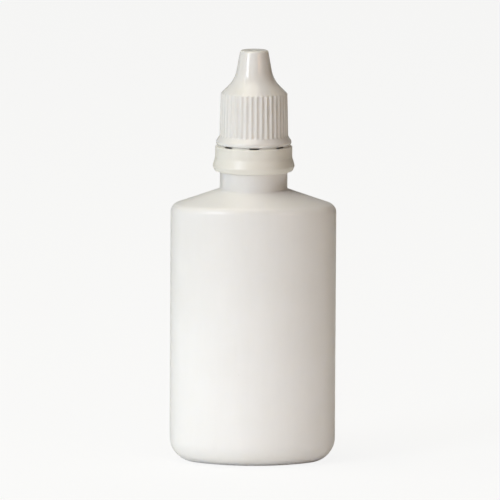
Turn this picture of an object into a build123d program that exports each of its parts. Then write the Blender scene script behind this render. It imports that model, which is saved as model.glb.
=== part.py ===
from build123d import *
import math
import os

os.makedirs("parts", exist_ok=True)

# Flat oval squeeze bottle with a press-in dropper plug, a tamper-evident ring and a tall screw cap.
# Millimetres. Origin: centre of the standing face. +Z up, +X along the width, the front faces -Y.

# Body of the bottle
body_width = 42.0
body_depth = 27.0
body_end_radius = 9.0
wall = 1.0
floor_thickness = 1.2
heel_radius = 6.2
standing_rim_width = 1.2
shoulder_edge_z = 65.9
shoulder_edge_radius = 3.2
shoulder_top_z = 69.9
push_up = 0.9
push_up_taper = 40.0
push_up_fillet = 0.3
seam_length = 19.0
seam_width = 0.5
seam_height = 0.25

height_tolerance = 0.01

# Neck of the bottle
collar_diameter = 17.1
collar_bore = 13.2
collar_foot_fillet = 0.7
bead_diameter = 17.8
bead_bottom_z = 76.7
bead_land = 0.7
bead_top_z = 78.5
bead_top_diameter = 16.4
neck_top_z = 92.5
neck_root_diameter = 12.8
neck_step_z = 79.7
neck_bore = 9.5
neck_rim_fillet = 0.25

# Thread shared by neck and cap: right-hand, single start
thread_lead = 3.0
thread_turns = 2
neck_thread_z = 84.0
neck_thread_diameter = 14.3
cap_thread_z = neck_thread_z - thread_lead / 2
cap_thread_inside = 13.2
cap_bore = 14.7
ridge_root_width = 1.75
ridge_crest_width = 1.05
ridge_sink = 0.25
fade_angle = 40.0
fade_band = 2.6
fade_overlap = 1.0

# Dropper plug
plug_bottom_z = 85.4
plug_skirt_diameter = 9.4
plug_skirt_inside = 7.8
plug_lead_in = 0.5
plug_seal_diameter = 9.6
plug_seal_heights = (87.4, 90.0)
plug_seal_width = 0.9
plug_flange_diameter = 12.3
plug_flange_thickness = 1.0
flange_fillet = 0.3
nozzle_foot_diameter = 7.8
nozzle_waist_diameter = 6.4
nozzle_waist_z = 96.6
nozzle_tip_z = 102.8
nozzle_tip_diameter = 3.6
nozzle_waist_bore = 4.6
nozzle_tip_fillet = 0.45
orifice_diameter = 1.1
orifice_bottom_z = 101.0
countersink_diameter = 1.8
countersink_depth = 0.35

# Tamper-evident ring
ring_bottom_z = 74.4
ring_top_z = 80.7
ring_diameter = 19.5
ring_flare_diameter = 20.8
ring_flare_z = 75.7
ring_flare_start_z = 77.9
ring_underside_diameter = 19.7
ring_lip_inside = 17.45
ring_lip_top_z = 76.0
ring_inside = 18.15
ring_inside_start_z = 76.4
ring_flare_fillets = (1.5, 0.9, 0.4)
ring_top_round = 0.25
bridge_top_z = 81.06
bridge_diameter = 18.5
bridge_count = 8
window_width = 2.5
window_turn = 46.0

# Screw cap
cap_bottom_z = 81.1
cap_rim_diameter = 19.0
cap_rim_top_z = 82.05
cap_skirt_start_z = 83.2
cap_skirt_bottom_diameter = 17.44
cap_skirt_top_diameter = 16.9
cap_shoulder_z = 94.0
cap_shoulder_rise = 3.6
nose_foot_diameter = 9.7
cap_top_z = 105.05
cap_top_diameter = 7.0
cap_dish_diameter = 4.6
cap_dish_depth = 0.12
cap_rim_fillets = (0.45, 0.7, 0.8)
cap_shoulder_fillet = 0.45
nose_fillet = 7.5
cap_top_fillet = 0.7
cap_ceiling_z = 104.0
cap_nose_wall = 0.91
cap_shoulder_wall = 1.0
flute_count = 40
flute_depth = 0.24
flute_radius = 0.72
flute_bottom_z = 83.7
pin_diameter = 0.9
pin_end_z = 101.7
pin_chamfer = 0.15


def oval_joint(half_width, half_depth, end_radius):
    """Point where the end arc of an oval runs into its side arc."""
    side_radius = (half_width**2 + half_depth**2 - 2 * half_width * end_radius) / (
        2 * (half_depth - end_radius)
    )
    reach = half_width - end_radius
    arc_angle = math.atan2(side_radius - half_depth, reach)
    return (reach + end_radius * math.cos(arc_angle), end_radius * math.sin(arc_angle))


def four_arcs(half_width, half_depth, joint_x, joint_y):
    """Closed outline of four arcs, through the ends of both axes and four joints."""
    with BuildSketch() as outline:
        with BuildLine():
            ThreePointArc((joint_x, -joint_y), (half_width, 0), (joint_x, joint_y))
            ThreePointArc((joint_x, joint_y), (0, half_depth), (-joint_x, joint_y))
            ThreePointArc((-joint_x, joint_y), (-half_width, 0), (-joint_x, -joint_y))
            ThreePointArc((-joint_x, -joint_y), (0, -half_depth), (joint_x, -joint_y))
        make_face()
    return outline.sketch


def body_oval(inset):
    """Body's cross-section, drawn that far inside its outer face."""
    half_width = body_width / 2 - inset
    half_depth = body_depth / 2 - inset
    joint_x, joint_y = oval_joint(half_width, half_depth, body_end_radius - inset)
    return four_arcs(half_width, half_depth, joint_x, joint_y)


def circle_facing_oval(radius, inset):
    """Circle of four arcs whose joints face those of the body's oval, so that a loft runs straight."""
    joint_x, joint_y = oval_joint(
        body_width / 2 - inset, body_depth / 2 - inset, body_end_radius - inset
    )
    scale = radius / math.hypot(joint_x, joint_y)
    return four_arcs(radius, radius, joint_x * scale, joint_y * scale)


def edges_at(part, z):
    """Edges of a part that lie at one height."""
    return part.edges().filter_by_position(Axis.Z, z - height_tolerance, z + height_tolerance)


def flask(inset, bottom_z, edge_z, neck_diameter):
    """Oval body that closes in to a round neck; the same shape serves for the outside and the cavity."""
    with BuildPart() as blank:
        with BuildSketch(Plane.XY.offset(bottom_z)):
            add(body_oval(inset))
        extrude(amount=edge_z - bottom_z)
        with BuildSketch(Plane.XY.offset(edge_z)):
            add(body_oval(inset))
        with BuildSketch(Plane.XY.offset(shoulder_top_z)):
            add(circle_facing_oval(neck_diameter / 2, inset))
        loft(ruled=True)
        fillet(edges_at(blank, edge_z), shoulder_edge_radius - inset)
        fillet(edges_at(blank, bottom_z), heel_radius - inset)
    return blank.part


def thread_end(root_radius, crest_radius, end_z, side):
    """Cutter that fades the last stretch of a thread ridge into its root; side 1 is the lower end."""
    mean_radius = (root_radius + crest_radius) / 2
    offset = (crest_radius - root_radius) / 2 / math.sin(math.radians(fade_angle / 2))
    direction = math.radians(90 + fade_angle / 2)
    outside = crest_radius > root_radius
    with BuildPart() as cutter:
        with BuildSketch(Plane.XY.offset(end_z - fade_band / 2)):
            with Locations((0, -side * fade_overlap)):
                Rectangle(
                    2 * root_radius,
                    2 * root_radius,
                    align=(Align.MIN, Align.MIN if side > 0 else Align.MAX),
                )
            with Locations((offset * math.cos(direction), side * offset * math.sin(direction))):
                Circle(mean_radius, mode=Mode.SUBTRACT if outside else Mode.INTERSECT)
        extrude(amount=fade_band)
    return cutter.part


def thread_ridge(root_diameter, crest_diameter, start_z):
    """Trapezoidal helical ridge with faded ends; a crest inside the root makes an inside thread."""
    root_radius = root_diameter / 2
    crest = (crest_diameter - root_diameter) / 2
    sink = -math.copysign(ridge_sink, crest)
    height = thread_turns * thread_lead
    with BuildPart() as ridge:
        with BuildLine() as path:
            Helix(pitch=thread_lead, height=height, radius=root_radius, center=(0, 0, start_z))
        helix = path.edges()[0]
        with BuildSketch(Plane(origin=helix @ 0, x_dir=(1, 0, 0), z_dir=helix % 0)):
            with BuildLine():
                Polyline(
                    (sink, -ridge_root_width / 2),
                    (0, -ridge_root_width / 2),
                    (crest, -ridge_crest_width / 2),
                    (crest, ridge_crest_width / 2),
                    (0, ridge_root_width / 2),
                    (sink, ridge_root_width / 2),
                    close=True,
                )
            make_face()
        sweep(path=helix, is_frenet=True)
        add(thread_end(root_radius, crest_diameter / 2, start_z, 1), mode=Mode.SUBTRACT)
        add(thread_end(root_radius, crest_diameter / 2, start_z + height, -1), mode=Mode.SUBTRACT)
    return ridge.part


outer_flask = flask(0, 0, shoulder_edge_z, collar_diameter)
cavity = flask(wall, floor_thickness, shoulder_edge_z - wall, collar_bore)
neck_thread = thread_ridge(neck_root_diameter, neck_thread_diameter, neck_thread_z)
cap_thread = thread_ridge(cap_bore, cap_thread_inside, cap_thread_z)

# Bottle: oval body, neck with collar, tamper bead and thread, all one moulding.
with BuildPart() as bottle:
    add(outer_flask)
    with BuildSketch(Plane.XZ):
        with BuildLine():
            Polyline(
                (0, shoulder_top_z - wall),
                (collar_diameter / 2, shoulder_top_z - wall),
                (collar_diameter / 2, bead_bottom_z),
                (bead_diameter / 2, bead_bottom_z),
                (bead_diameter / 2, bead_bottom_z + bead_land),
                (bead_top_diameter / 2, bead_top_z),
                (neck_root_diameter / 2, neck_step_z),
                (neck_root_diameter / 2, neck_top_z),
                (0, neck_top_z),
                close=True,
            )
        make_face()
    revolve(axis=Axis.Z)
    fillet(edges_at(bottle, shoulder_top_z), collar_foot_fillet)
    add(neck_thread)
    add(cavity, mode=Mode.SUBTRACT)
    with BuildSketch(Plane.XZ):
        with BuildLine():
            Polyline(
                (0, shoulder_top_z - wall),
                (collar_bore / 2, shoulder_top_z - wall),
                (collar_bore / 2, bead_bottom_z),
                (neck_bore / 2, neck_step_z),
                (neck_bore / 2, neck_top_z + wall),
                (0, neck_top_z + wall),
                close=True,
            )
        make_face()
    revolve(axis=Axis.Z, mode=Mode.SUBTRACT)
    fillet(bottle.edges().group_by(Axis.Z)[-1], neck_rim_fillet)
    with BuildSketch(Plane.XY.offset(floor_thickness)):
        add(body_oval(heel_radius + standing_rim_width - wall / 2))
    extrude(amount=push_up, taper=push_up_taper)
    with BuildSketch():
        add(body_oval(heel_radius + standing_rim_width))
    extrude(amount=push_up, taper=push_up_taper, mode=Mode.SUBTRACT)
    fillet(edges_at(bottle, push_up), push_up_fillet)
    standing_face = bottle.faces().sort_by(Axis.Z)[0]
    fillet(standing_face.inner_wires()[0].edges(), push_up_fillet)
    with BuildSketch(Plane.XY.offset(push_up)):
        SlotOverall(seam_length, seam_width)
    extrude(amount=-seam_height)
bottle.part.label = "bottle"
export_step(bottle.part, "parts/bottle.step")

# Dropper plug: skirt with two sealing beads pressed into the bore, a flange on the rim, and the nozzle.
flange_top_z = neck_top_z + plug_flange_thickness
with BuildPart() as dropper_plug:
    with BuildSketch(Plane.XZ):
        with BuildLine():
            Polyline(
                (plug_skirt_inside / 2, plug_bottom_z),
                (plug_skirt_diameter / 2 - plug_lead_in / 2, plug_bottom_z),
                (plug_skirt_diameter / 2, plug_bottom_z + plug_lead_in),
                (plug_skirt_diameter / 2, neck_top_z),
                (plug_flange_diameter / 2, neck_top_z),
                (plug_flange_diameter / 2, flange_top_z),
                (nozzle_foot_diameter / 2, flange_top_z),
                (nozzle_waist_diameter / 2, nozzle_waist_z),
                (nozzle_tip_diameter / 2, nozzle_tip_z),
                (countersink_diameter / 2, nozzle_tip_z),
                (orifice_diameter / 2, nozzle_tip_z - countersink_depth),
                (orifice_diameter / 2, orifice_bottom_z),
                (nozzle_waist_bore / 2, nozzle_waist_z),
                (plug_skirt_inside / 2, neck_top_z),
                close=True,
            )
        make_face()
        for seal_z in plug_seal_heights:
            with BuildLine():
                Polyline(
                    (plug_skirt_diameter / 2, seal_z - plug_seal_width / 2),
                    (plug_seal_diameter / 2, seal_z - plug_seal_width / 4),
                    (plug_seal_diameter / 2, seal_z + plug_seal_width / 4),
                    (plug_skirt_diameter / 2, seal_z + plug_seal_width / 2),
                    close=True,
                )
            make_face()
    revolve(axis=Axis.Z)
    round_edges = dropper_plug.edges().filter_by(GeomType.CIRCLE)
    fillet(round_edges.group_by(SortBy.RADIUS)[-1], flange_fillet)
    tip_edge = dropper_plug.edges().group_by(Axis.Z)[-1].sort_by(SortBy.RADIUS)[-1]
    fillet(tip_edge, nozzle_tip_fillet)
dropper_plug.part.label = "dropper_plug"
export_step(dropper_plug.part, "parts/dropper_plug.step")

# Tamper-evident ring: flared band caught under the neck bead, with the snapped bridges on its top.
with BuildPart() as tamper_ring:
    with BuildSketch(Plane.XZ):
        with BuildLine():
            FilletPolyline(
                (ring_inside / 2, ring_top_z),
                (ring_diameter / 2, ring_top_z),
                (ring_diameter / 2, ring_flare_start_z),
                (ring_flare_diameter / 2, ring_flare_z),
                (ring_underside_diameter / 2, ring_bottom_z),
                (ring_lip_inside / 2, ring_bottom_z),
                radius=(ring_top_round, *ring_flare_fillets),
            )
            Polyline(
                (ring_lip_inside / 2, ring_bottom_z),
                (ring_lip_inside / 2, ring_lip_top_z),
                (ring_inside / 2, ring_inside_start_z),
                (ring_inside / 2, ring_top_z),
            )
        make_face()
    revolve(axis=Axis.Z)
    with BuildSketch(Plane.XY.offset(ring_top_z)):
        Circle(bridge_diameter / 2)
        Circle(ring_inside / 2, mode=Mode.SUBTRACT)
        with PolarLocations(ring_inside / 2, bridge_count, start_angle=window_turn - 90):
            Rectangle(window_width, window_width, mode=Mode.SUBTRACT)
    extrude(amount=bridge_top_z - ring_top_z)
tamper_ring.part.label = "tamper_ring"
export_step(tamper_ring.part, "parts/tamper_ring.step")

# Screw cap: fluted skirt with an inside thread, tall nose over the nozzle, and a pin for its orifice.
nose_slope = (nose_foot_diameter - cap_top_diameter) / 2 / (cap_top_z - cap_shoulder_z - cap_shoulder_rise)
shoulder_line = cap_skirt_top_diameter / 2 + cap_shoulder_z - cap_shoulder_wall * math.sqrt(2)
inner_ceiling_radius = cap_top_diameter / 2 + nose_slope * (cap_top_z - cap_ceiling_z) - cap_nose_wall
inner_foot_radius = (inner_ceiling_radius + nose_slope * (cap_ceiling_z - shoulder_line)) / (1 - nose_slope)
with BuildPart() as cap:
    with BuildSketch(Plane.XZ):
        with BuildLine():
            FilletPolyline(
                (cap_bore / 2, cap_bottom_z),
                (cap_rim_diameter / 2, cap_bottom_z),
                (cap_rim_diameter / 2, cap_rim_top_z),
                (cap_skirt_bottom_diameter / 2, cap_skirt_start_z),
                (cap_skirt_top_diameter / 2, cap_shoulder_z),
                (nose_foot_diameter / 2, cap_shoulder_z + cap_shoulder_rise),
                (cap_top_diameter / 2, cap_top_z),
                (cap_dish_diameter / 2, cap_top_z),
                radius=(*cap_rim_fillets, cap_shoulder_fillet, nose_fillet, cap_top_fillet),
            )
            FilletPolyline(
                (cap_dish_diameter / 2, cap_top_z),
                (0, cap_top_z - cap_dish_depth),
                (0, pin_end_z),
                (pin_diameter / 2 - pin_chamfer, pin_end_z),
                (pin_diameter / 2, pin_end_z + pin_chamfer),
                (pin_diameter / 2, cap_ceiling_z),
                (inner_ceiling_radius, cap_ceiling_z),
                (inner_foot_radius, shoulder_line - inner_foot_radius),
                (cap_bore / 2, shoulder_line - cap_bore / 2),
                (cap_bore / 2, cap_bottom_z),
                radius=(0, 0, 0, 0, 0, cap_shoulder_fillet, nose_fillet, 0),
            )
        make_face()
    revolve(axis=Axis.Z)
    add(cap_thread)
    flute_lean = math.degrees(
        math.atan2(
            (cap_skirt_bottom_diameter - cap_skirt_top_diameter) / 2, cap_shoulder_z - cap_skirt_start_z
        )
    )
    flute_axis_radius = cap_skirt_bottom_diameter / 2 - flute_depth + flute_radius
    with PolarLocations(flute_axis_radius, flute_count):
        with Locations(Location((0, 0, flute_bottom_z), (0, -flute_lean, 0))):
            Cylinder(
                flute_radius,
                cap_shoulder_z + cap_shoulder_rise - flute_bottom_z,
                align=(Align.CENTER, Align.CENTER, Align.MIN),
                mode=Mode.SUBTRACT,
            )
            Sphere(flute_radius, mode=Mode.SUBTRACT)
cap.part.label = "cap"
export_step(cap.part, "parts/cap.step")
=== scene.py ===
import math

import bmesh
import bpy
import numpy as np
from mathutils import Matrix, Vector, noise


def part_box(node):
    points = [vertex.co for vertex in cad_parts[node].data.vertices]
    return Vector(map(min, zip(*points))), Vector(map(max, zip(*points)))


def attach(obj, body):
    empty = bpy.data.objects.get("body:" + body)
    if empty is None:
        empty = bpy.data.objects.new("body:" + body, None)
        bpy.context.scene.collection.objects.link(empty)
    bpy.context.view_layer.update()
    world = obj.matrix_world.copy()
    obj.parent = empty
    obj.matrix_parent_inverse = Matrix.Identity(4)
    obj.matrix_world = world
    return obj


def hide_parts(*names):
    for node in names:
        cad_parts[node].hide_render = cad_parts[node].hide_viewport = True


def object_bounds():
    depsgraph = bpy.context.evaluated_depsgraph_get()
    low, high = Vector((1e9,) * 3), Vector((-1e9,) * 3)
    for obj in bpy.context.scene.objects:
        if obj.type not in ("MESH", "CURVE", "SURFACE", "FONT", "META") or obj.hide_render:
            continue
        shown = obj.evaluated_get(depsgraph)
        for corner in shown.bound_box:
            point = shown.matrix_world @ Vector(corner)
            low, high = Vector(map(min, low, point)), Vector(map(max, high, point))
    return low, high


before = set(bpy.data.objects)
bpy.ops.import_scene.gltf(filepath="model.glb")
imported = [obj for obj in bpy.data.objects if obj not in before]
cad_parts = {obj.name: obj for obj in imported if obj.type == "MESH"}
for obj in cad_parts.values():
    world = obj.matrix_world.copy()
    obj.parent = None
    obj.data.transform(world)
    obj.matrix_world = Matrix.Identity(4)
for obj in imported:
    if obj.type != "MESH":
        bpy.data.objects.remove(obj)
cad_low, cad_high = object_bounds()
bottle_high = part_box("bottle")[1]
cap_low, cap_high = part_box("cap")

# The scene is in metres; small sizes are written in millimetres times mm.
mm = 0.001

# Body of the bottle: a four-arc oval that closes in to a round collar
body_half_width = bottle_high.x
body_half_depth = bottle_high.y
body_end_radius = 9.0 * mm
wall = 1.0 * mm
floor_thickness = 1.2 * mm
heel_radius = 6.2 * mm
standing_rim_width = 1.2 * mm
push_up = 0.9 * mm
push_up_run = 0.75 * mm
push_up_centre_share = 0.12
push_up_shares = (0.3, 0.5, 0.7, 0.85, 0.95, 1.0)
inner_push_up_share = 0.5
shoulder_edge_z = 65.6 * mm
shoulder_edge_radius = 2.4 * mm
shoulder_top_z = 69.8 * mm
collar_radius = 8.55 * mm
collar_bore_radius = 6.6 * mm
collar_foot_fillet = 0.7 * mm

# Traces of blow moulding: they start part of the way up the heel, at trace_start_share of its arc
parting_height = 0.05 * mm
parting_width = 0.16 * mm
parting_relief = 3.5 * mm
wall_waver = 0.05 * mm
waver_size = 17.0 * mm
trace_start_share = 0.3
pinch_length = 19.0 * mm
pinch_width = 0.5 * mm
pinch_height = 0.3 * mm
pinch_waver = 0.35
pinch_columns = 12
pinch_stations = 60

# Neck
bead_bottom_z = 76.7 * mm
bead_radius = 8.9 * mm
bead_land = 0.7 * mm
bead_top_z = 78.5 * mm
bead_top_radius = 8.2 * mm
neck_step_z = 79.7 * mm
neck_root_radius = 6.4 * mm
neck_bore_radius = 4.75 * mm
neck_top_z = bottle_high.z
neck_rim_fillet = 0.25 * mm
small_edge = 0.12 * mm

# Thread shared by neck and cap: right-hand, single start, two turns
thread_lead = 3.0 * mm
thread_turns = 2
neck_thread_z = 84.0 * mm
neck_crest_radius = 7.15 * mm
cap_thread_z = neck_thread_z - thread_lead / 2
cap_crest_radius = 6.6 * mm
ridge_root_half = 0.875 * mm
ridge_crest_half = 0.525 * mm
ridge_round = 0.05 * mm
thread_fade = math.radians(40)

# Screw cap
cap_bore_radius = 7.35 * mm
cap_bottom_z = cap_low.z
cap_top_z = cap_high.z
cap_rim_radius = cap_high.x
cap_rim_top_z = 82.05 * mm
cap_skirt_start_z = 83.2 * mm
cap_skirt_bottom_radius = 8.72 * mm
cap_skirt_top_radius = 8.45 * mm
cap_shoulder_z = 94.0 * mm
cap_shoulder_rise = 3.6 * mm
nose_foot_radius = 4.85 * mm
cap_top_radius = 3.5 * mm
cap_dish_radius = 2.3 * mm
cap_dish_depth = 0.12 * mm
nose_fillet = 7.5 * mm
cap_ceiling_z = 104.0 * mm
cap_nose_wall = 0.91 * mm
cap_shoulder_wall = 1.0 * mm
cap_rim_low_fillet = 0.45 * mm
cap_rim_high_fillet = 0.7 * mm
cap_skirt_foot_fillet = 0.8 * mm
cap_shoulder_fillet = 0.45 * mm
cap_top_fillet = 0.7 * mm
pin_foot_fillet = 0.1 * mm
cap_ceiling_fillet = 0.45 * mm
pin_radius = 0.45 * mm
pin_end_z = 101.7 * mm
gate_radius = 0.55 * mm
gate_height = 0.07 * mm
gate_seat_share = 0.9
gate_foot_share = 1.6
gate_top_share = 0.8
flute_count = 40
flute_depth = 0.24 * mm
flute_radius = 0.72 * mm
flute_bottom_z = 83.7 * mm
flute_lip = 0.03 * mm

# Mesh resolution: each row_step is the longest distance between two loops. seam_columns are in widths
# of the parting line from it, flute_steps in half flutes and dish_shares in radii of the dish.
columns_per_end = 40
columns_per_side = 72
seam_columns = (0.35, 0.7, 1.1, 1.7)
flute_steps = (0.0, 0.5, 0.9, 1.06)
arc_steps = 8
bead_arc_steps = 4
gate_arc_steps = 3
wall_rows = 34
shoulder_rows = 9
cavity_rows = 12
neck_row_step = 1.2 * mm
bore_row_step = 3.0 * mm
skirt_row_step = 0.8 * mm
flute_end_row_step = 0.12 * mm
flute_end_reach = 1.2 * mm
dish_shares = (0.75, 0.5)
merge_distance = 1e-7
straight_angle = math.pi / 2 - 1e-6
sharp_angle = math.radians(50)

# Grain of the plastics: each band is the range of a noise that is spread over its effect
cloud_size = 14.0 * mm
cloud_noise = {"detail": 3}
cloud_share = 0.7
tone_band = (0.35, 0.65)
flow_size = 1.6 * mm
flow_noise = {"detail": 4, "roughness": 0.6}
flow_height = 0.008 * mm
flow_strength = 0.3
speck_size = 0.45 * mm
speck_noise = {"detail": 2, "roughness": 0.4}
speck_band = (0.80, 0.84)
speck_strength = 0.35
speck_colour = (0.45, 0.40, 0.33)
smudge_size = 6.0 * mm
smudge_noise = {"detail": 5, "roughness": 0.62, "distortion": 0.6}
smudge_band = (0.3, 0.7)
smudge_change = 0.025
scratch_size = 1.1 * mm
scratch_noise = {"detail": 6, "roughness": 0.75, "distortion": 0.3}
scratch_band = (0.62, 0.7)
scratch_stretch = (0.6, 0.6, 9.0)
scratch_dulling = 0.05
scratch_depth = 0.002 * mm
scratch_strength = 0.4
peel_noise = {"detail": 3, "roughness": 0.5}
peel_height = 0.012 * mm
peel_strength = 0.35
plastic_ior = 1.51
light_reach = 1.2 * mm
light_reach_by_colour = (1.0, 0.92, 0.78)


def smooth_step(value):
    """0 below 0, 1 above 1 and an even curve between them."""
    t = np.clip(value, 0.0, 1.0)
    return t * t * (3 - 2 * t)


def rounded(points, radii, steps=arc_steps):
    """Polyline in a plane whose inner corners are arcs of the given radii; 0 keeps a corner."""
    path = [np.array(points[0])]
    for before, corner, after, radius in zip(points, points[1:], points[2:], radii):
        corner = np.array(corner)
        back = np.array(before) - corner
        ahead = np.array(after) - corner
        back /= np.linalg.norm(back)
        ahead /= np.linalg.norm(ahead)
        half_angle = math.acos(float(np.clip(back @ ahead, -1, 1))) / 2
        if radius == 0 or half_angle > straight_angle:
            path.append(corner)
            continue
        middle = (back + ahead) / np.linalg.norm(back + ahead)
        centre = corner + middle * radius / math.sin(half_angle)
        start = corner + back * radius / math.tan(half_angle) - centre
        end = corner + ahead * radius / math.tan(half_angle) - centre
        turn = math.pi - 2 * half_angle
        for step in range(steps + 1):
            share = step / steps
            path.append(
                centre
                + (start * math.sin((1 - share) * turn) + end * math.sin(share * turn)) / math.sin(turn)
            )
    path.append(np.array(points[-1]))
    return path


def spaced(path, longest):
    """The same polyline with extra points, so that no step is longer than that."""
    dense = [path[0]]
    for start, end in zip(path, path[1:]):
        parts = max(1, math.ceil(np.linalg.norm(end - start) / longest))
        dense += [start + (end - start) * k / parts for k in range(1, parts + 1)]
    return dense


class Skin:
    """Mesh made of stacked loops that all have the same columns, at the given angles on round parts."""

    def __init__(self, angles):
        self.angles = np.array(angles)
        self.columns = len(angles)
        self.points = []
        self.faces = []
        self.last = None

    def add_points(self, points):
        first = len(self.points)
        self.points += [tuple(p) for p in points]
        return first

    def loop(self, points):
        """Adds a closed loop and joins it to the one before."""
        first = self.add_points(points)
        if self.last is not None:
            for j in range(self.columns):
                k = (j + 1) % self.columns
                self.faces.append((self.last + j, self.last + k, first + k, first + j))
        self.last = first

    def middle(self, point):
        """Closes the newest loop with a fan to one point."""
        centre = self.add_points([point])
        for j in range(self.columns):
            self.faces.append((self.last + j, self.last + (j + 1) % self.columns, centre))
        self.last = None

    def start_middle(self, point, points):
        """Opens the skin with a fan from one point to its first loop."""
        centre = self.add_points([point])
        self.last = self.add_points(points)
        for j in range(self.columns):
            self.faces.append((centre, self.last + (j + 1) % self.columns, self.last + j))

    def round_loops(self, path):
        """Adds round loops along a path of (radius, z) points."""
        for radius, z in path:
            self.loop(self.circle(radius, z))

    def circle(self, radius, z):
        """Round loop at one height; the radius is one number or one for each column."""
        radius = np.broadcast_to(radius, self.columns)
        z = np.broadcast_to(z, self.columns)
        return np.column_stack((radius * np.cos(self.angles), radius * np.sin(self.angles), z))

    def thread(self, root, crest, start_z, low_z, high_z):
        """Adds a round wall with a helical ridge between two heights; its rows follow the helix."""
        edge = [ridge_crest_half - ridge_round, ridge_crest_half + ridge_round]
        edge += [ridge_root_half - ridge_round, ridge_root_half + ridge_round]
        offsets = np.array([-thread_lead / 2, *(-e for e in reversed(edge)), 0.0, *edge])
        slope = (ridge_root_half - np.abs(offsets)) / (ridge_root_half - ridge_crest_half)
        heights = smooth_step(slope) * (crest - root)
        rows_per_turn = len(offsets)
        turns_below = math.ceil((start_z - low_z) / thread_lead) + 1
        turns = turns_below + math.ceil((high_z - start_z) / thread_lead) + 1
        rows = turns * rows_per_turn
        turn_of = np.arange(rows) // rows_per_turn - turns_below
        first = len(self.points)
        for row in range(rows):
            travel = self.angles + 2 * math.pi * turn_of[row]
            fade = smooth_step(travel / thread_fade)
            fade = fade * smooth_step((2 * math.pi * thread_turns - travel) / thread_fade)
            z = start_z + thread_lead * travel / (2 * math.pi) + offsets[row % rows_per_turn]
            radius = root + heights[row % rows_per_turn] * fade
            z = np.clip(z, low_z, high_z)
            self.points += list(
                zip(radius * np.cos(self.angles), radius * np.sin(self.angles), z)
            )
        self.join_thread_rows(first, rows, rows_per_turn)

    def join_thread_rows(self, first, rows, rows_per_turn):
        """Joins the rows of a thread; the last column meets the first one a turn further up."""
        for row in range(rows - 1):
            for j in range(self.columns):
                here = first + row * self.columns + j
                above = here + self.columns
                if j + 1 < self.columns:
                    right, right_above = here + 1, above + 1
                else:
                    right = first + (row + rows_per_turn) * self.columns
                    right_above = right + self.columns
                if right_above < first + rows * self.columns:
                    self.faces.append((here, right, right_above, above))
        self.last = None

    def build(self, name):
        """Turns the loops into a smooth-shaded object with its outside facing out."""
        mesh = bpy.data.meshes.new(name)
        mesh.from_pydata([tuple(map(float, p)) for p in self.points], [], self.faces)
        work = bmesh.new()
        work.from_mesh(mesh)
        bmesh.ops.remove_doubles(work, verts=work.verts, dist=merge_distance)
        bmesh.ops.dissolve_degenerate(work, edges=work.edges, dist=merge_distance)
        bmesh.ops.recalc_face_normals(work, faces=work.faces)
        work.to_mesh(mesh)
        work.free()
        for face in mesh.polygons:
            face.use_smooth = True
        mesh.set_sharp_from_angle(angle=sharp_angle)
        piece = bpy.data.objects.new(name, mesh)
        bpy.context.scene.collection.objects.link(piece)
        return piece


def bottle_columns():
    """The bottle's columns: oval point, outward normal and the angle each takes on round parts."""
    side_radius = (body_half_width**2 + body_half_depth**2 - 2 * body_half_width * body_end_radius) / (
        2 * (body_half_depth - body_end_radius)
    )
    reach = body_half_width - body_end_radius
    drop = side_radius - body_half_depth
    end_span = math.atan2(drop, reach)
    side_span = math.pi / 2 - end_span
    joint_angle = math.atan2(
        body_end_radius * math.sin(end_span), reach + body_end_radius * math.cos(end_span)
    )
    seam_side = np.array(seam_columns) * parting_width / (body_end_radius * end_span)
    half = columns_per_end // 2
    even = np.linspace(seam_side[-1], 1, half - len(seam_side) + 1)[1:]
    positive = np.concatenate((seam_side, even))
    end_steps = np.concatenate((-positive[::-1], [0.0], positive))[:-1]
    side_steps = np.linspace(-1, 1, columns_per_side + 1)[:-1]
    arcs = (
        (0, (reach, 0), body_end_radius, end_span, joint_angle, end_steps),
        (1, (0, -drop), side_radius, side_span, math.pi / 2 - joint_angle, side_steps),
        (2, (-reach, 0), body_end_radius, end_span, joint_angle, end_steps),
        (3, (0, drop), side_radius, side_span, math.pi / 2 - joint_angle, side_steps),
    )
    points, normals, angles = [], [], []
    for quarter, centre, radius, span, round_span, steps in arcs:
        turn = quarter * math.pi / 2
        for step in steps:
            normal = np.array([math.cos(turn + span * step), math.sin(turn + span * step)])
            points.append(np.array(centre) + radius * normal)
            normals.append(normal)
            angles.append(turn + round_span * step)
    return np.array(points), np.array(normals), np.array(angles)


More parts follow.
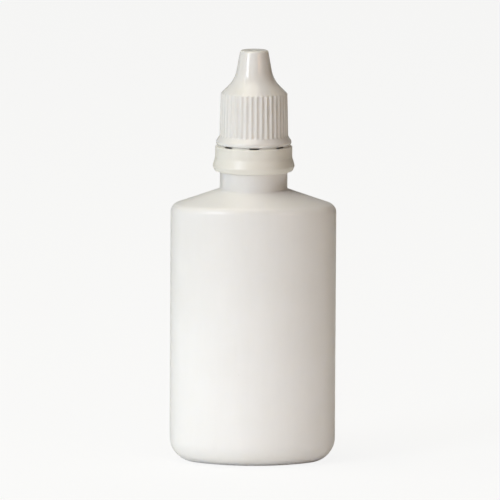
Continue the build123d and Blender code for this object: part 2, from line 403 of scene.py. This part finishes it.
class BottleSkin(Skin):
    """Skin whose columns follow the oval of the bottle's body."""

    def __init__(self):
        self.oval_points, self.normals, angles = bottle_columns()
        super().__init__(angles)

    def oval(self, inset, z, share=1.0):
        """Loop of the oval, set in from the wall and then shrunk to a share of its size."""
        flat = (self.oval_points - self.normals * inset) * share
        return np.column_stack((flat, np.full(self.columns, z)))

    def moulded(self, loop, waver_share=1.0):
        """The same loop with the traces of blow moulding."""
        blown = waver(loop, self.normals)
        return parting_line(loop + (blown - loop) * waver_share, self.normals)

    def shoulder(self, inset, edge_z, edge_radius, neck_radius, foot_radius):
        """Loops from the wall's top round the shoulder edge and up the ruled shoulder to the neck."""
        wall_points = self.oval_points - self.normals * inset
        neck_points = neck_radius * np.column_stack((np.cos(self.angles), np.sin(self.angles)))
        run = neck_points - wall_points
        run_length = np.linalg.norm(run, axis=1)
        inward = run / run_length[:, None]
        turn = math.pi / 2 - np.arctan2(shoulder_top_z - edge_z, run_length)
        tangent = edge_radius * np.tan(turn / 2)
        edge = []
        for share in np.linspace(0, 1, 2 * arc_steps + 1):
            flat = wall_points + inward * (edge_radius * (1 - np.cos(turn * share)))[:, None]
            z = edge_z - tangent + edge_radius * np.sin(turn * share)
            edge.append(np.column_stack((flat, z)))
        foot_tangent = foot_radius * np.tan(turn / 2)
        foot = []
        for share in np.linspace(1, 0, arc_steps + 1):
            flat = neck_points - inward * (foot_radius * (1 - np.cos(turn * share)))[:, None]
            z = shoulder_top_z + foot_tangent - foot_radius * np.sin(turn * share)
            foot.append(np.column_stack((flat, z)))
        slope_shares = np.linspace(0, 1, shoulder_rows)[1:-1]
        slope = [edge[-1] * (1 - share) + foot[0] * share for share in slope_shares]
        return edge + slope + foot


def waver(points, normals):
    """Moves wall points in by a few hundredths of a millimetre, unevenly, as blown walls are."""
    moved = np.array(points)
    for k, point in enumerate(points):
        share = 0.5 + 0.5 * noise.noise(Vector(point) / waver_size)
        moved[k, :2] -= normals[k] * wall_waver * share
    return moved


def parting_line(points, normals):
    """Raises the thin line where the mould halves met, on both narrow sides, inside a slight relief."""
    moved = np.array(points)
    off_plane = np.abs(moved[:, 1])
    relief = np.exp(-((off_plane / parting_relief) ** 2))
    ridge = np.exp(-((off_plane / parting_width) ** 2))
    moved[:, :2] += normals * (parting_height * (ridge - relief))[:, None]
    return moved


def add_underside(skin):
    """The pushed-up middle of the underside and the flat rim that the bottle stands on."""
    recess = heel_radius + standing_rim_width
    middle_inset = recess + push_up_run
    first = skin.oval(middle_inset, push_up, push_up_centre_share)
    skin.start_middle((0, 0, push_up), first)
    for share in push_up_shares:
        skin.loop(skin.oval(middle_inset, push_up, share))
    step = rounded(
        [
            (push_up_run + standing_rim_width / 4, push_up),
            (push_up_run, push_up),
            (0, 0),
            (-standing_rim_width / 2, 0),
        ],
        [push_up / 3, push_up / 3],
    )
    for inset, z in step[1:]:
        skin.loop(skin.oval(recess + inset, z))
    skin.loop(skin.oval(heel_radius, 0))


def add_body(skin):
    """The heel, the wall and the shoulder, with the traces of blow moulding."""
    for share in np.linspace(0, 1, 2 * arc_steps + 1)[1:]:
        turn = share * math.pi / 2
        loop = skin.oval(heel_radius * (1 - math.sin(turn)), heel_radius * (1 - math.cos(turn)))
        skin.loop(skin.moulded(loop, share**2) if share > trace_start_share else loop)
    shoulder = skin.shoulder(
        0, shoulder_edge_z, shoulder_edge_radius, collar_radius, collar_foot_fillet
    )
    wall_top = shoulder[0][:, 2]
    for share in np.linspace(0, 1, wall_rows)[1:-1]:
        loop = skin.oval(0, 0)
        loop[:, 2] = heel_radius + (wall_top - heel_radius) * share
        skin.loop(skin.moulded(loop))
    for k, loop in enumerate(shoulder):
        skin.loop(skin.moulded(loop, 1 - k / (len(shoulder) - 1)))


def add_neck(skin):
    """The collar, the tamper bead, the threaded neck, its rim and its bore down to the shoulder."""
    outer = rounded(
        [
            (collar_radius, shoulder_top_z + collar_foot_fillet),
            (collar_radius, bead_bottom_z),
            (bead_radius, bead_bottom_z),
            (bead_radius, bead_bottom_z + bead_land),
            (bead_top_radius, bead_top_z),
            (neck_root_radius, neck_step_z),
            (neck_root_radius, neck_step_z + thread_lead / 4),
        ],
        [small_edge] * 5,
        steps=bead_arc_steps,
    )
    skin.round_loops(spaced(outer, neck_row_step)[1:])
    thread_top = neck_top_z - thread_lead / 4
    skin.thread(neck_root_radius, neck_crest_radius, neck_thread_z, outer[-1][1], thread_top)
    rim = rounded(
        [
            (neck_root_radius, thread_top),
            (neck_root_radius, neck_top_z),
            (neck_bore_radius, neck_top_z),
            (neck_bore_radius, neck_step_z),
            (collar_bore_radius, bead_bottom_z),
            (collar_bore_radius, shoulder_top_z + wall),
        ],
        [neck_rim_fillet, neck_rim_fillet, 0, 0],
    )
    skin.round_loops(spaced(rim, bore_row_step))


def add_cavity(skin):
    """The inside of the shoulder, the wall, the heel and the floor, from the top down."""
    inside = skin.shoulder(
        wall, shoulder_edge_z - wall, shoulder_edge_radius - wall, collar_bore_radius, small_edge
    )
    for loop in reversed(inside):
        skin.loop(loop)
    for z in np.linspace(shoulder_edge_z - 4 * wall, heel_radius, cavity_rows):
        skin.loop(skin.oval(wall, z))
    inner_heel = heel_radius - wall
    for share in np.linspace(1, 0, arc_steps + 1)[1:]:
        turn = share * math.pi / 2
        inset = heel_radius - inner_heel * math.sin(turn)
        skin.loop(skin.oval(inset, floor_thickness + inner_heel * (1 - math.cos(turn))))
    inner_step = heel_radius + standing_rim_width - wall / 2
    middle_z = floor_thickness + push_up
    skin.loop(skin.oval(inner_step, floor_thickness))
    skin.loop(skin.oval(inner_step + push_up_run, middle_z))
    skin.loop(skin.oval(inner_step + push_up_run, middle_z, inner_push_up_share))
    skin.middle((0, 0, middle_z))


def build_bottle():
    """Bottle with its cavity as one closed skin, from the underside up, over the neck and back down."""
    skin = BottleSkin()
    add_underside(skin)
    add_body(skin)
    add_neck(skin)
    add_cavity(skin)
    return skin.build("bottle_body")


def build_pinch_seam():
    """Thin weld across the underside, where the mould pinched the soft tube shut."""
    skin = Skin(np.linspace(0, 2 * math.pi, pinch_columns + 1)[:-1])
    middle = (push_up + pinch_height / 4) * np.ones(pinch_columns)
    stations = np.linspace(-1, 1, pinch_stations)[1:-1]

    def ring(share):
        uneven = 1 + pinch_waver * noise.noise(Vector((share * pinch_length / mm, 0, 0)))
        taper = (1 - share**6) * uneven
        x = np.full(pinch_columns, share * pinch_length / 2)
        y = pinch_width / 2 * taper * np.cos(skin.angles)
        return np.column_stack((x, y, middle + pinch_height * taper * np.sin(skin.angles)))

    skin.start_middle((-pinch_length / 2, 0, middle[0]), ring(stations[0]))
    for share in stations[1:]:
        skin.loop(ring(share))
    skin.middle((pinch_length / 2, 0, middle[0]))
    return skin.build("pinch_seam")


def flute_radius_at(profile_radius, turn, z):
    """Radius of the fluted skirt: the plain profile, or a round groove where that lies deeper."""
    lean = (cap_skirt_bottom_radius - cap_skirt_top_radius) / (cap_shoulder_z - cap_skirt_start_z)
    axis_radius = cap_skirt_bottom_radius - flute_depth + flute_radius - lean * (z - flute_bottom_z)
    below = max(0.0, flute_bottom_z - z)
    across = axis_radius * np.sin(turn)
    inside = flute_radius**2 - below**2 - across**2
    groove = axis_radius * np.cos(turn) - np.sqrt(np.maximum(inside, 0))
    open_groove = np.where(inside > 0, groove, profile_radius + flute_depth)
    gap = profile_radius - open_groove
    return profile_radius - (gap + np.sqrt(gap**2 + flute_lip**2)) / 2


def cap_outline():
    """Outside of the cap from its lower edge to the rim of the dished top, as (radius, z) points."""
    return rounded(
        [
            (cap_bore_radius, cap_bottom_z),
            (cap_rim_radius, cap_bottom_z),
            (cap_rim_radius, cap_rim_top_z),
            (cap_skirt_bottom_radius, cap_skirt_start_z),
            (cap_skirt_top_radius, cap_shoulder_z),
            (nose_foot_radius, cap_shoulder_z + cap_shoulder_rise),
            (cap_top_radius, cap_top_z),
            (cap_dish_radius, cap_top_z),
        ],
        [
            cap_rim_low_fillet,
            cap_rim_high_fillet,
            cap_skirt_foot_fillet,
            cap_shoulder_fillet,
            nose_fillet,
            cap_top_fillet,
        ],
        steps=2 * arc_steps,
    )


def cap_columns():
    """The cap's columns: the angle of each from its flute's middle, and its angle about the axis."""
    period = 2 * math.pi / flute_count
    half_flute = math.acos(
        1 - (flute_radius**2 - (flute_radius - flute_depth) ** 2) / (2 * cap_skirt_bottom_radius**2)
    )
    side = [step * half_flute for step in flute_steps]
    turn = np.array([*(-x for x in side[:0:-1]), *side, period / 2] * flute_count)
    return turn, turn + period * (np.arange(len(turn)) // (2 * len(side)))


def add_cap_outside(skin, turn):
    """The rim, the fluted skirt, the shoulder and the nose, with closer rows at the flutes' ends."""
    outline = cap_outline()
    skin.round_loops(outline[:1])
    fluted_low = flute_bottom_z - flute_radius
    fluted_high = cap_shoulder_z + cap_shoulder_rise / 2
    for start, end in zip(outline, outline[1:]):
        from_end = min(abs(end[1] - flute_bottom_z), abs(end[1] - cap_shoulder_z))
        close = from_end < flute_end_reach and fluted_low < end[1] < fluted_high
        for radius, z in spaced([start, end], flute_end_row_step if close else skirt_row_step)[1:]:
            if fluted_low < z < fluted_high:
                radius = flute_radius_at(radius, turn, z)
            skin.loop(skin.circle(radius, z))


def add_cap_top(skin):
    """The dished top of the nose with the mark that the moulding gate left."""
    for share in dish_shares:
        z = cap_top_z - cap_dish_depth * (1 - share)
        skin.loop(skin.circle(cap_dish_radius * share, z))
    seat_z = cap_top_z - cap_dish_depth * gate_seat_share
    gate = rounded(
        [
            (gate_radius * gate_foot_share, seat_z),
            (gate_radius, seat_z),
            (gate_radius * gate_top_share, seat_z + gate_height),
            (0, seat_z + gate_height),
        ],
        [gate_radius / 5, gate_height / 4],
        steps=gate_arc_steps,
    )
    skin.round_loops(gate[:-1])
    skin.middle((0, 0, gate[-1][1]))


def add_cap_inside(skin):
    """The sealing pin, the inside of the nose and the shoulder, and the threaded bore."""
    nose_slope = (nose_foot_radius - cap_top_radius) / (cap_top_z - cap_shoulder_z - cap_shoulder_rise)
    shoulder_line = cap_skirt_top_radius + cap_shoulder_z - cap_shoulder_wall * math.sqrt(2)
    ceiling_radius = cap_top_radius + nose_slope * (cap_top_z - cap_ceiling_z) - cap_nose_wall
    foot_radius = (ceiling_radius + nose_slope * (cap_ceiling_z - shoulder_line)) / (1 - nose_slope)
    inside = rounded(
        [
            (pin_radius - small_edge, pin_end_z),
            (pin_radius, pin_end_z + small_edge),
            (pin_radius, cap_ceiling_z),
            (ceiling_radius, cap_ceiling_z),
            (foot_radius, shoulder_line - foot_radius),
            (cap_bore_radius, shoulder_line - cap_bore_radius),
            (cap_bore_radius, shoulder_line - cap_bore_radius - thread_lead / 4),
        ],
        [0, pin_foot_fillet, cap_ceiling_fillet, nose_fillet, 0],
    )
    skin.start_middle((0, 0, pin_end_z), skin.circle(inside[0][0], pin_end_z))
    skin.round_loops(spaced(inside, neck_row_step)[1:])
    skin.thread(cap_bore_radius, cap_crest_radius, cap_thread_z, cap_bottom_z, inside[-1][1])


def build_cap():
    """Fluted screw cap as one closed skin, from its lower edge over the nose and down the inside."""
    turn, angles = cap_columns()
    skin = Skin(angles)
    add_cap_outside(skin, turn)
    add_cap_top(skin)
    add_cap_inside(skin)
    return skin.build("cap_shell")


class Nodes:
    """Short way to write a node tree."""

    # The Mix node repeats its sockets for each kind of value; these are the ones for colours
    mix_first, mix_second, mix_result = 6, 7, 2

    def __init__(self, tree):
        self.tree = tree

    def add(self, kind, **settings):
        node = self.tree.nodes.new("ShaderNode" + kind)
        for name, value in settings.items():
            setattr(node, name, value)
        return node

    def join(self, source, target):
        self.tree.links.new(source, target)

    def noise(self, place, scale, detail, roughness=0.5, distortion=0.0):
        node = self.add("TexNoise")
        node.inputs["Scale"].default_value = scale
        node.inputs["Detail"].default_value = detail
        node.inputs["Roughness"].default_value = roughness
        node.inputs["Distortion"].default_value = distortion
        self.join(place, node.inputs["Vector"])
        return node.outputs["Fac"]

    def stretched(self, place, stretch):
        node = self.add("Mapping")
        node.inputs["Scale"].default_value = stretch
        self.join(place, node.inputs["Vector"])
        return node.outputs["Vector"]

    def remap(self, value, low, high, to_low, to_high):
        node = self.add("MapRange")
        node.clamp = True
        node.inputs["From Min"].default_value = low
        node.inputs["From Max"].default_value = high
        node.inputs["To Min"].default_value = to_low
        node.inputs["To Max"].default_value = to_high
        self.join(value, node.inputs["Value"])
        return node.outputs["Result"]

    def math(self, operation, first, second):
        node = self.add("Math", operation=operation)
        for socket, value in zip(node.inputs, (first, second)):
            if isinstance(value, (int, float)):
                socket.default_value = value
            else:
                self.join(value, socket)
        return node.outputs["Value"]

    def mix_colour(self, share, first, second):
        node = self.add("Mix", data_type="RGBA")
        self.join(share, node.inputs["Factor"])
        sockets = node.inputs[self.mix_first], node.inputs[self.mix_second]
        for socket, value in zip(sockets, (first, second)):
            if isinstance(value, tuple):
                socket.default_value = (*value, 1)
            else:
                self.join(value, socket)
        return node.outputs[self.mix_result]

    def bump(self, height, distance, strength, onto=None):
        node = self.add("Bump")
        node.inputs["Distance"].default_value = distance
        node.inputs["Strength"].default_value = strength
        self.join(height, node.inputs["Height"])
        if onto is not None:
            self.join(onto, node.inputs["Normal"])
        return node.outputs["Normal"]


def plastic_tone(nodes, place, flow, colour, shade):
    """Base colour: clouds and flow marks between the two tones, with a few small specks."""
    clouds = nodes.noise(place, 1 / cloud_size, **cloud_noise)
    cloudy = nodes.math(
        "ADD",
        nodes.math("MULTIPLY", clouds, cloud_share),
        nodes.math("MULTIPLY", flow, 1 - cloud_share),
    )
    tone = nodes.mix_colour(nodes.remap(cloudy, *tone_band, 0, 1), colour, shade)
    specks = nodes.noise(place, 1 / speck_size, **speck_noise)
    return nodes.mix_colour(nodes.remap(specks, *speck_band, 0, speck_strength), tone, speck_colour)


def plastic(name, colour, shade, roughness, softness, streak, peel_size, scuffs):
    """White moulded plastic with cloudy colour, uneven gloss, fine peel, flow streaks and scuffs.

    colour and shade are the two tones of the resin, softness is the share of light that goes in, streak
    stretches the flow marks along Z, peel_size is the grain of the surface and scuffs says how handled
    it is.
    """
    material = bpy.data.materials.new(name)
    material.use_nodes = True
    shader = material.node_tree.nodes["Principled BSDF"]
    nodes = Nodes(material.node_tree)
    place = nodes.add("TexCoord").outputs["Object"]
    flow = nodes.noise(nodes.stretched(place, (1, 1, 1 / streak)), 1 / flow_size, **flow_noise)
    nodes.join(plastic_tone(nodes, place, flow, colour, shade), shader.inputs["Base Color"])

    smudges = nodes.noise(place, 1 / smudge_size, **smudge_noise)
    gloss = nodes.remap(smudges, *smudge_band, roughness - smudge_change, roughness + smudge_change)
    scratches = nodes.noise(nodes.stretched(place, scratch_stretch), 1 / scratch_size, **scratch_noise)
    scratch_share = nodes.remap(scratches, *scratch_band, 0, scuffs)
    dulled = nodes.math("MULTIPLY", scratch_share, scratch_dulling)
    nodes.join(nodes.math("ADD", gloss, dulled), shader.inputs["Roughness"])

    relief = nodes.bump(nodes.noise(place, 1 / peel_size, **peel_noise), peel_height, peel_strength)
    relief = nodes.bump(flow, flow_height, flow_strength, relief)
    relief = nodes.bump(scratch_share, -scratch_depth, scratch_strength, relief)
    nodes.join(relief, shader.inputs["Normal"])

    shader.inputs["IOR"].default_value = plastic_ior
    shader.inputs["Subsurface Weight"].default_value = softness
    shader.inputs["Subsurface Radius"].default_value = light_reach_by_colour
    shader.inputs["Subsurface Scale"].default_value = light_reach
    return material


def dress(obj, material):
    """Gives every material slot of an object the same material."""
    if not obj.material_slots:
        obj.data.materials.append(material)
    for slot in obj.material_slots:
        slot.material = material


# Camera, in metres and degrees: a long lens in front of the wide side, looking slightly down
camera_distance = 2.0
camera_elevation = 7.7
camera_roll = 0.296
camera_clip = (0.1, 20.0)
sensor_width = 0.036
picture_width = 0.12663
picture_offset = (-0.00082, 0.00155)

# Room and floor. The floor carries painted light: a faint emission that stands in for bounce light and
# fades out near the bottle, a painted contact shadow. Its reach is where that painted glow starts and
# where it is full, in half sizes of the bottle's plan; floor_lift is how much of the floor the camera
# sees as studio_white.
studio_white = (1.0, 1.0, 0.995)
room_left = (0.012, 0.012, 0.012)
room_right = (0.012, 0.011, 0.010)
floor_size = 8.0
floor_colour = (0.82, 0.82, 0.81)
floor_lift = 0.88
# Painted light on the floor: an emission that stands in for bounce light, weaker near the bottle, which
# paints a contact shadow there
painted_floor_glow = 0.03
painted_floor_glow_colour = (1.0, 0.9, 0.75)
painted_floor_shade_reach = (0.6, 2.2)

# Lamps: name, azimuth and elevation in degrees, distance, width and height in metres, watts, colour
lamps = (
    ("key", -46, 23, 1.2, 0.36, 0.55, 6.4, (0.86, 0.90, 1.0)),
    ("front", -12, 14, 2.4, 1.3, 1.1, 2.6, (0.9, 0.97, 1.0)),
    ("glint", 38, 12, 1.4, 0.3, 0.3, 1.9, (1.0, 0.60, 0.36)),
    ("top", -20, 72, 1.6, 1.0, 1.0, 8.9, (1.0, 0.93, 0.84)),
    ("top_left", -80, 60, 1.6, 1.0, 1.0, 5.8, (1.0, 1.0, 0.77)),
    ("back", 180, 22, 2.0, 3.0, 1.5, 4.2, (1.0, 0.98, 0.95)),
)
# Low strips close to the bottle that brighten its lower part; same values as for the lamps
cards = (
    ("card_left", -45, -30, 0.092, 0.1, 0.012, 0.0165, (0.88, 0.93, 1.0)),
    ("card_right", 28, -30, 0.092, 0.1, 0.012, 0.0090, (0.90, 0.92, 1.0)),
)


def direction(azimuth, elevation):
    """Unit vector away from the object, in degrees: azimuth 0 is the front, positive to the right."""
    turn, rise = math.radians(azimuth), math.radians(elevation)
    return Vector(
        (math.sin(turn) * math.cos(rise), -math.cos(turn) * math.cos(rise), math.sin(rise))
    )


def add_camera():
    """Camera that looks at the object's middle, shifted so that it stands where the picture has it."""
    centre = (cad_low + cad_high) / 2
    back = direction(0, camera_elevation)
    look = (-back).to_track_quat("-Z", "Y").to_matrix()
    data = bpy.data.cameras.new("camera")
    data.sensor_width = sensor_width / mm
    data.lens = sensor_width / mm * camera_distance / picture_width
    data.clip_start, data.clip_end = camera_clip
    camera = bpy.data.objects.new("camera", data)
    bpy.context.scene.collection.objects.link(camera)
    place = centre + back * camera_distance
    place += look.col[0] * picture_offset[0] + look.col[1] * picture_offset[1]
    camera.matrix_world = (
        Matrix.Translation(place) @ look.to_4x4() @ Matrix.Rotation(math.radians(camera_roll), 4, "Z")
    )
    bpy.context.scene.camera = camera


def add_softbox(name, azimuth, elevation, distance, width, height, watts, colour):
    """Rectangular soft light that faces the object."""
    data = bpy.data.lights.new(name, "AREA")
    data.shape = "RECTANGLE"
    data.size, data.size_y = width, height
    data.energy, data.color = watts, colour
    light = bpy.data.objects.new(name, data)
    bpy.context.scene.collection.objects.link(light)
    toward = direction(azimuth, elevation)
    light.location = (cad_low + cad_high) / 2 + toward * distance
    light.rotation_mode = "QUATERNION"
    light.rotation_quaternion = toward.to_track_quat("Z", "Y")
    return light


def make_fill(light, left_out):
    """Keeps a light off one object and out of reflections."""
    unlit = bpy.data.collections.new(light.name + "_leaves_out")
    unlit.objects.link(left_out)
    unlit.collection_objects[0].light_linking.link_state = "EXCLUDE"
    light.light_linking.receiver_collection = unlit
    light.visible_glossy = False


def add_world():
    """Near-white background, and a dim room whose light turns slightly warmer to the right."""
    world = bpy.data.worlds.new("studio")
    bpy.context.scene.world = world
    world.use_nodes = True
    world.node_tree.nodes.clear()
    nodes = Nodes(world.node_tree)
    across = nodes.add("SeparateXYZ")
    nodes.join(nodes.add("TexCoord").outputs["Generated"], across.inputs[0])
    share = nodes.remap(across.outputs["X"], -1, 1, 0, 1)
    room = nodes.add("Background")
    nodes.join(nodes.mix_colour(share, room_left, room_right), room.inputs["Color"])
    seen = nodes.add("Background")
    seen.inputs["Color"].default_value = (*studio_white, 1)
    either = nodes.add("MixShader")
    nodes.join(nodes.add("LightPath").outputs["Is Camera Ray"], either.inputs["Fac"])
    nodes.join(room.outputs[0], either.inputs[1])
    nodes.join(seen.outputs[0], either.inputs[2])
    nodes.join(either.outputs[0], nodes.add("OutputWorld").inputs["Surface"])


def pale_floor_material():
    """Matt white with a painted glow, a painted bounce light that is weaker under the bottle as a
    painted contact shadow, and that the camera sees near white.
    """
    material = bpy.data.materials.new("pale_floor")
    material.use_nodes = True
    material.node_tree.nodes.clear()
    nodes = Nodes(material.node_tree)
    lit = nodes.add("BsdfDiffuse")
    lit.inputs["Color"].default_value = (*floor_colour, 1)
    place = nodes.add("TexCoord").outputs["Object"]
    reach = nodes.add("VectorMath", operation="LENGTH")
    nodes.join(nodes.stretched(place, (1 / body_half_width, 1 / body_half_depth, 0)), reach.inputs[0])
    # Painted bounce light: an emission whose strength drops near the bottle, a painted contact shadow
    painted_glow = nodes.add("Emission")
    painted_glow.inputs["Color"].default_value = (*painted_floor_glow_colour, 1)
    strength = nodes.remap(reach.outputs["Value"], *painted_floor_shade_reach, 0, painted_floor_glow)
    nodes.join(strength, painted_glow.inputs["Strength"])
    whole = nodes.add("AddShader")
    nodes.join(lit.outputs[0], whole.inputs[0])
    nodes.join(painted_glow.outputs[0], whole.inputs[1])
    pale = nodes.add("Emission")
    pale.inputs["Color"].default_value = (*studio_white, 1)
    seen = nodes.math("MULTIPLY", nodes.add("LightPath").outputs["Is Camera Ray"], floor_lift)
    either = nodes.add("MixShader")
    nodes.join(seen, either.inputs["Fac"])
    nodes.join(whole.outputs[0], either.inputs[1])
    nodes.join(pale.outputs[0], either.inputs[2])
    nodes.join(either.outputs[0], nodes.add("OutputMaterial").inputs["Surface"])
    return material


def add_floor():
    """Plain floor under the object."""
    bpy.ops.mesh.primitive_plane_add(size=floor_size, location=(0, 0, cad_low.z))
    floor = bpy.context.active_object
    floor.name = "floor"
    floor.data.materials.append(pale_floor_material())
    return floor


bottle_plastic = plastic(
    "bottle_plastic",
    colour=(0.84, 0.835, 0.815),
    shade=(0.815, 0.81, 0.785),
    roughness=0.30,
    softness=0.25,
    streak=7,
    peel_size=0.35 * mm,
    scuffs=0.6,
)
cap_plastic = plastic(
    "cap_plastic",
    colour=(0.82, 0.81, 0.785),
    shade=(0.795, 0.785, 0.755),
    roughness=0.18,
    softness=0.3,
    streak=2,
    peel_size=0.5 * mm,
    scuffs=0.9,
)
ring_plastic = plastic(
    "ring_plastic",
    colour=(0.825, 0.81, 0.75),
    shade=(0.80, 0.785, 0.72),
    roughness=0.36,
    softness=0.2,
    streak=1,
    peel_size=0.5 * mm,
    scuffs=0.9,
)
plug_plastic = plastic(
    "plug_plastic",
    colour=(0.82, 0.82, 0.805),
    shade=(0.79, 0.79, 0.77),
    roughness=0.3,
    softness=0.35,
    streak=2,
    peel_size=0.4 * mm,
    scuffs=0.3,
)

bottle_body = build_bottle()
dress(bottle_body, bottle_plastic)
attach(bottle_body, "bottle")
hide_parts("bottle")

pinch_seam = build_pinch_seam()
dress(pinch_seam, bottle_plastic)
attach(pinch_seam, "bottle")

cap_shell = build_cap()
dress(cap_shell, cap_plastic)
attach(cap_shell, "cap")
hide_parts("cap")

dress(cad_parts["tamper_ring"], ring_plastic)
dress(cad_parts["dropper_plug"], plug_plastic)

add_camera()
add_world()
floor = add_floor()
for lamp in lamps:
    add_softbox(*lamp)
for card in cards:
    make_fill(add_softbox(*card), floor)
bpy.context.scene.view_settings.view_transform = "Standard"
